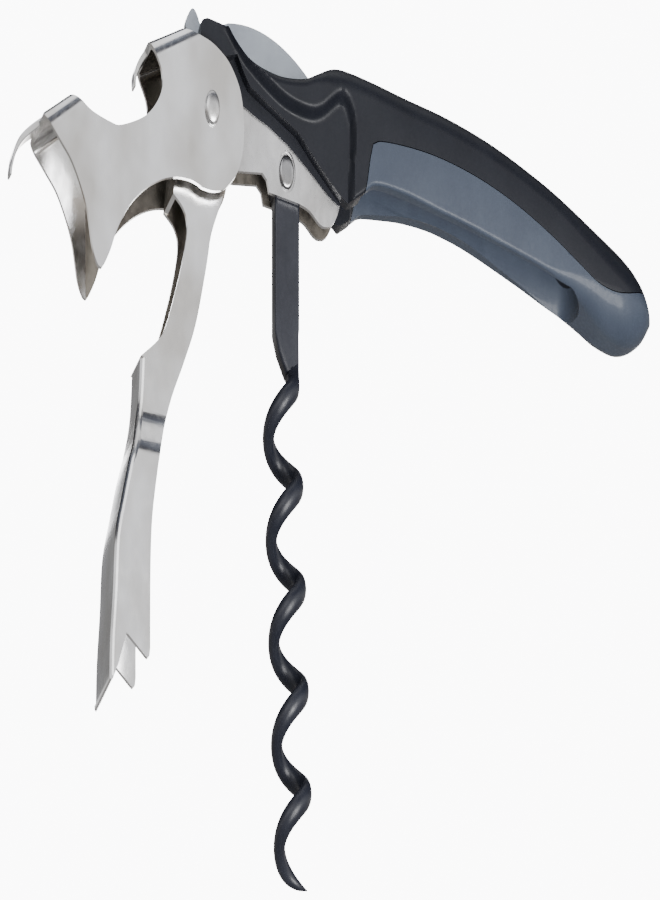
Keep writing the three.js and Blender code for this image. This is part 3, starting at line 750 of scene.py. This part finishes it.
def handle_ring(x):
    """One cross-section: a rounded rectangle, fuller in the grip and crisper at the head."""
    top, bottom = height(HANDLE_TOP, x), height(HANDLE_BOTTOM, x)
    half_height = max((top - bottom) / 2, 0.05)
    middle = (top + bottom) / 2
    tail = ramp(80, 101, x)
    brow = ramp(24, 31, x)
    notch = ramp(5, 9, x)
    rounding_from, rounding_length = 98.5, 9.2
    end = max((x - rounding_from) / rounding_length, 0)
    half = HANDLE_HALF * math.sqrt(max(1 - end * end, 0.0004))
    # corner radii across and upright, going from the head over the notch and the brow to the tail
    top_y = min(mix(mix(mix(0.5, 1.3, notch), 3.2, brow), 5.2, tail), half * 0.95)
    top_z = min(mix(mix(mix(0.5, 1.0, notch), 2.3, brow), 3.8, tail), half_height * 0.95)
    low_y, low_z = min(mix(0.45, 5.0, tail), half * 0.95), min(mix(0.45, 4.4, tail), half_height * 0.95)
    corners = [(1, 1, top_y, top_z), (1, -1, low_y, low_z), (-1, -1, low_y, low_z), (-1, 1, top_y, top_z)]
    side_count, flat_count, corner_count = 34, 10, 9
    points = []
    for i, (sy, sz, ry, rz) in enumerate(corners):
        for k in range(corner_count):
            t = math.radians(90 * k / (corner_count - 1))
            if i % 2:
                t = math.pi / 2 - t
            points.append((sy * (half - ry + ry * math.sin(t)),
                           sz * (half_height - rz + rz * math.cos(t))))
        on_side = i % 2 == 0
        count = side_count if on_side else flat_count
        sy, sz, ry, rz = corners[(i + 1) % 4]
        ay, az = points[-1]
        by, bz = (sy * half, sz * (half_height - rz)) if on_side else (sy * (half - ry), sz * half_height)
        for k in range(1, count):
            points.append((mix(ay, by, k / count), mix(az, bz, k / count)))
    ring = []
    for y, z in points:
        crown = 1 - 0.06 * ramp(36, 50, x) * (z / half_height) ** 2
        limit = side_limit(x, middle + z)
        rise = far_rim_rise(x) * ramp(-2, 4, y) * ramp(0.2, -1.0, z / half_height)
        ring.append((x, math.copysign(min(abs(y) * crown, limit), y), middle + z + rise))
    return ring


def handle_blank():
    """The whole handle as one solid, with its cross-sections closer together at the head and the tip."""
    head, grip, tail, tip = -2.4, 37.6, 92.6, 107.55
    xs = [head + 0.4 * k for k in range(100)]
    xs += [grip + 1.0 * k for k in range(1, 56)]
    xs += [tail + (tip - tail) * math.sin(math.pi / 2 * k / 26) for k in range(1, 27)]
    return loft("handle", [handle_ring(x) for x in xs])


def groove():
    """The channel under the handle that the folded worm lies in."""
    rings = []
    start, end = GROOVE_SPAN
    closing = end - GROOVE_END
    for x in (start, *(closing + GROOVE_END * math.sin(math.radians(a)) for a in range(0, 91, 9))):
        z = GROOVE_THROUGH[1] + (x - GROOVE_THROUGH[0]) * math.tan(GROOVE_SLOPE)
        past = max(x - closing, 0) / GROOVE_END
        narrow = math.sqrt(max(1 - past * past, 0.0025))
        half = GROOVE_HALF * narrow
        bow = [(half * y, z + GROOVE_R * narrow * h) for y, h in arc((0, 0), 1.0, 0, 180, 7.5)]
        below = z - 15
        rings.append([(x, y, h) for y, h in [(half, below), *bow, (-half, below)]])
    return loft("groove", rings)


def handle():
    """Two shells over the soft grip, all cut from one blank, with room for the frame and the blade
    and a slot for the blade to swing out of."""
    blank = handle_blank()
    room = [(-20, -20), (36.6, -20), (36.6, -0.3), (43.9, -0.3), (43.9, 4.25), (-20, 4.25)]
    head = [(-20, 4.5), (11.8, 4.5), (11.8, 20), (-20, 20)]
    slot = [(-20, 4), (33.8, 4), (33.8, 20), (-20, 20)]
    slot_half = 1.3
    boolean(blank, "DIFFERENCE", prism("room", room, -SHELL_INNER, SHELL_INNER),
            prism("head", head, -SHELL_INNER, SHELL_INNER), prism("slot", slot, -slot_half, slot_half),
            groove())
    below = [*SEAM, (112, -40), (36.0, -40)]
    grip = duplicate(blank)
    boolean(grip, "INTERSECT", prism("below", below, -CLEAR, CLEAR))
    # the shells stop a hair above the seam
    lifted = [*((x - 0.12, z + 0.1) for x, z in SEAM), (112, -40), (35.9, -40)]
    boolean(blank, "DIFFERENCE", prism("lifted", lifted, -CLEAR, CLEAR))
    box = [(-20, -40), (120, -40), (120, 30), (-20, 30)]
    for side, name in ((-1, "front"), (1, "back")):
        shell = duplicate(blank)
        boolean(shell, "INTERSECT", prism("half", box, *sorted((side * SHELL_GAP, side * CLEAR))))
        boolean(shell, "UNION", prism("lip", SHELL_LIP, *sorted(side * y for y in LIP_SPAN)))
        break_edges(shell, SHELL_EDGE)
        finish_piece(shell, f"handle_shell_{name}_moulded", BLACK, "handle",
                     f"handle_shell_{name}")
    bpy.data.objects.remove(blank)
    break_edges(grip, GRIP_EDGE)
    finish_piece(grip, "soft_grip_moulded", GRIP, "handle", "soft_grip")


def carried_nodes():
    """The small inner parts keep their CAD shapes and get the same kinds of finish."""
    looks = {SPRING: ["detent_spring", "lever_washer_back", "lever_washer_front", "knife_washer_back",
                      "knife_washer_front"],
             BRASS: ["worm_bush"],
             FRAME_STEEL: ["shell_pin_1", "shell_pin_2", "shell_pin_3", "tang_pin", "frame_pin",
                           "knife_pin"]}
    for look, names in looks.items():
        for name in names:
            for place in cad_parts[name].material_slots:
                place.material = look


# ---------- studio ----------

AZIMUTH, ELEVATION = math.radians(-17.5), math.radians(-15.5)
RIGHT = Vector((math.cos(AZIMUTH), math.sin(AZIMUTH), 0))
UP = Vector((-math.sin(AZIMUTH) * math.sin(ELEVATION), math.cos(AZIMUTH) * math.sin(ELEVATION),
             math.cos(ELEVATION)))
BACK = RIGHT.cross(UP)


def camera():
    """The photograph is squeezed sideways to 0.4125 of its width, so the camera sees the object that
    way: both its axes lean back from the picture plane, and the more an axis leans, the more the
    picture is stretched along it."""
    picture_height = 0.226                    # metres, along an axis that doesn't lean
    across, upward = 4331.0, 10500.0          # picture points to a metre in the two directions
    plain = 900 / picture_height
    lean_x, lean_y = plain / across, plain / upward
    centre = LEVER_RIVET + RIGHT * 0.02907 - UP * 0.03093
    eye = centre + BACK * 0.35
    x_axis = RIGHT * lean_x + BACK * math.sqrt(1 - lean_x ** 2)
    y_axis = UP * lean_y + BACK * math.sqrt(1 - lean_y ** 2)
    lens = bpy.data.cameras.new("camera")
    lens.type = "ORTHO"
    lens.ortho_scale = picture_height
    lens.clip_start, lens.clip_end = 0.001, 10
    cam = bpy.data.objects.new("camera", lens)
    rig = bpy.data.objects.new("camera_rig", None)
    scene.collection.objects.link(cam)
    scene.collection.objects.link(rig)
    cam.parent = rig
    cam.matrix_parent_inverse = Matrix([(x_axis[i], y_axis[i], BACK[i], eye[i]) for i in range(3)]
                                       + [(0, 0, 0, 1)])
    scene.camera = cam


def area_light(name, place, size, power):
    """A square lamp turned towards the object; metres and watts."""
    data = bpy.data.lights.new(name, "AREA")
    data.size = size
    data.energy = power
    lamp = bpy.data.objects.new(name, data)
    lamp.location = place
    lamp.rotation_mode = "QUATERNION"
    lamp.rotation_quaternion = (-Vector(place)).to_track_quat("-Z", "Y")
    scene.collection.objects.link(lamp)


# The surroundings by height, from straight down (0) to straight up (1): a grey ground, a thin dark
# warm line under the horizon, bright card up to a sharp dark edge at 0.76, and a blue-grey ceiling.
SURROUNDINGS = (
    (0.00, (0.28, 0.28, 0.28)),
    (0.36, (0.42, 0.41, 0.40)),
    (0.42, (0.24, 0.20, 0.16)),
    (0.46, (0.66, 0.63, 0.59)),
    (0.53, (0.95, 0.93, 0.90)),
    (0.63, (1.12, 1.12, 1.13)),
    (0.72, (1.40, 1.40, 1.42)),
    (0.76, (0.06, 0.06, 0.07)),
    (0.86, (0.10, 0.11, 0.14)),
    (0.92, (0.20, 0.22, 0.27)),
    (1.00, (0.30, 0.31, 0.34)),
)
BACKDROP_STRENGTH = 9.0
BACKDROP_EDGE = (0.955, 0.992)      # cosines of the angle from the camera's line of sight
CARD_STRENGTH = 0.24
CARD_FROM_X, CARD_FROM_Y, CARD_FROM_Z = (0.68, 0.80), (0.30, 0.45), (0.17, 0.25)    # directions
FLOOR_Z = -0.24


class Surroundings:
    """The studio round the object, as a world that its steel can mirror."""

    def __init__(self):
        world = bpy.data.worlds.new("studio")
        scene.world = world
        world.use_nodes = True
        self.tree = world.node_tree
        self.light = self.tree.nodes["Background"]
        self.place = self.tree.nodes.new("ShaderNodeTexCoord").outputs["Generated"]
        parts = self.tree.nodes.new("ShaderNodeSeparateXYZ")
        self.tree.links.new(self.place, parts.inputs["Vector"])
        self.x, self.y, self.z = parts.outputs

    def combine(self, operation, a, b):
        node = self.tree.nodes.new("ShaderNodeMath")
        node.operation = operation
        self.tree.links.new(a, node.inputs[0])
        self.tree.links.new(b, node.inputs[1])
        return node.outputs["Value"]

    def step(self, source, low, high, start=0.0, end=1.0):
        """A smooth step from start at low to end at high."""
        node = self.tree.nodes.new("ShaderNodeMapRange")
        node.interpolation_type = "SMOOTHSTEP"
        for name, value in (("From Min", low), ("From Max", high), ("To Min", start), ("To Max", end)):
            node.inputs[name].default_value = value
        self.tree.links.new(source, node.inputs["Value"])
        return node.outputs["Result"]

    def colour(self):
        level = self.tree.nodes.new("ShaderNodeMapRange")
        level.inputs["From Min"].default_value = -1.0
        self.tree.links.new(self.z, level.inputs["Value"])
        shade = self.tree.nodes.new("ShaderNodeValToRGB")
        stops = shade.color_ramp.elements
        for position, tint in SURROUNDINGS[1:-1]:
            stops.new(position).color = (*tint, 1)
        stops[0].color = (*SURROUNDINGS[0][1], 1)
        stops[len(stops) - 1].color = (*SURROUNDINGS[-1][1], 1)
        self.tree.links.new(level.outputs["Result"], shade.inputs["Fac"])
        self.tree.links.new(shade.outputs["Color"], self.light.inputs["Color"])

    def strength(self):
        """Dim to the right and behind, where grey cards stand, and bright straight behind the object."""
        sides = self.combine("MAXIMUM", self.step(self.x, *CARD_FROM_X), self.step(self.y, *CARD_FROM_Y))
        cards = self.combine("MULTIPLY", sides, self.step(self.z, *CARD_FROM_Z))
        towards = self.tree.nodes.new("ShaderNodeVectorMath")
        towards.operation = "DOT_PRODUCT"
        towards.inputs[1].default_value = -BACK
        self.tree.links.new(self.place, towards.inputs[0])
        behind = self.step(towards.outputs["Value"], *BACKDROP_EDGE, 0.0, BACKDROP_STRENGTH)
        total = self.combine("ADD", self.step(cards, 0.0, 1.0, 1.0, CARD_STRENGTH), behind)
        self.tree.links.new(total, self.light.inputs["Strength"])


def studio():
    surroundings = Surroundings()
    surroundings.colour()
    surroundings.strength()
    area_light("key", (-0.35, -0.5, 0.35), 0.5, 1.6)
    area_light("fill", (0.5, -0.35, 0.05), 0.5, 0.5)
    area_light("low", (0.08, -0.30, -0.14), 0.2, 2.2)
    area_light("top", (0.0, 0.0, 0.6), 0.5, 1.0)
    bpy.ops.mesh.primitive_plane_add(size=3, location=(0, 0, FLOOR_Z))
    floor = bpy.context.object
    floor.name = "floor"
    paper = Finish("paper", metallic=0.0)
    paper.colour(paper.noise(4), (0.78, 0.78, 0.78), (0.80, 0.80, 0.80))
    paper.roughness(paper.noise(30), 0.8, 0.9)
    floor.data.materials.append(paper.material)
    floor.visible_glossy = False


boot_lever()
long_lever()
liners()
rivet("lever_rivet_domed", (0, 0), 6.45, 0.8, FRAME_STEEL, "lever_rivet")
rivet("worm_rivet_domed", WORM_PIVOT, 2.4, 0.6, RIVET_STEEL, "worm_rivet")
worm()
foil_blade()
handle()
carried_nodes()
camera()
studio()
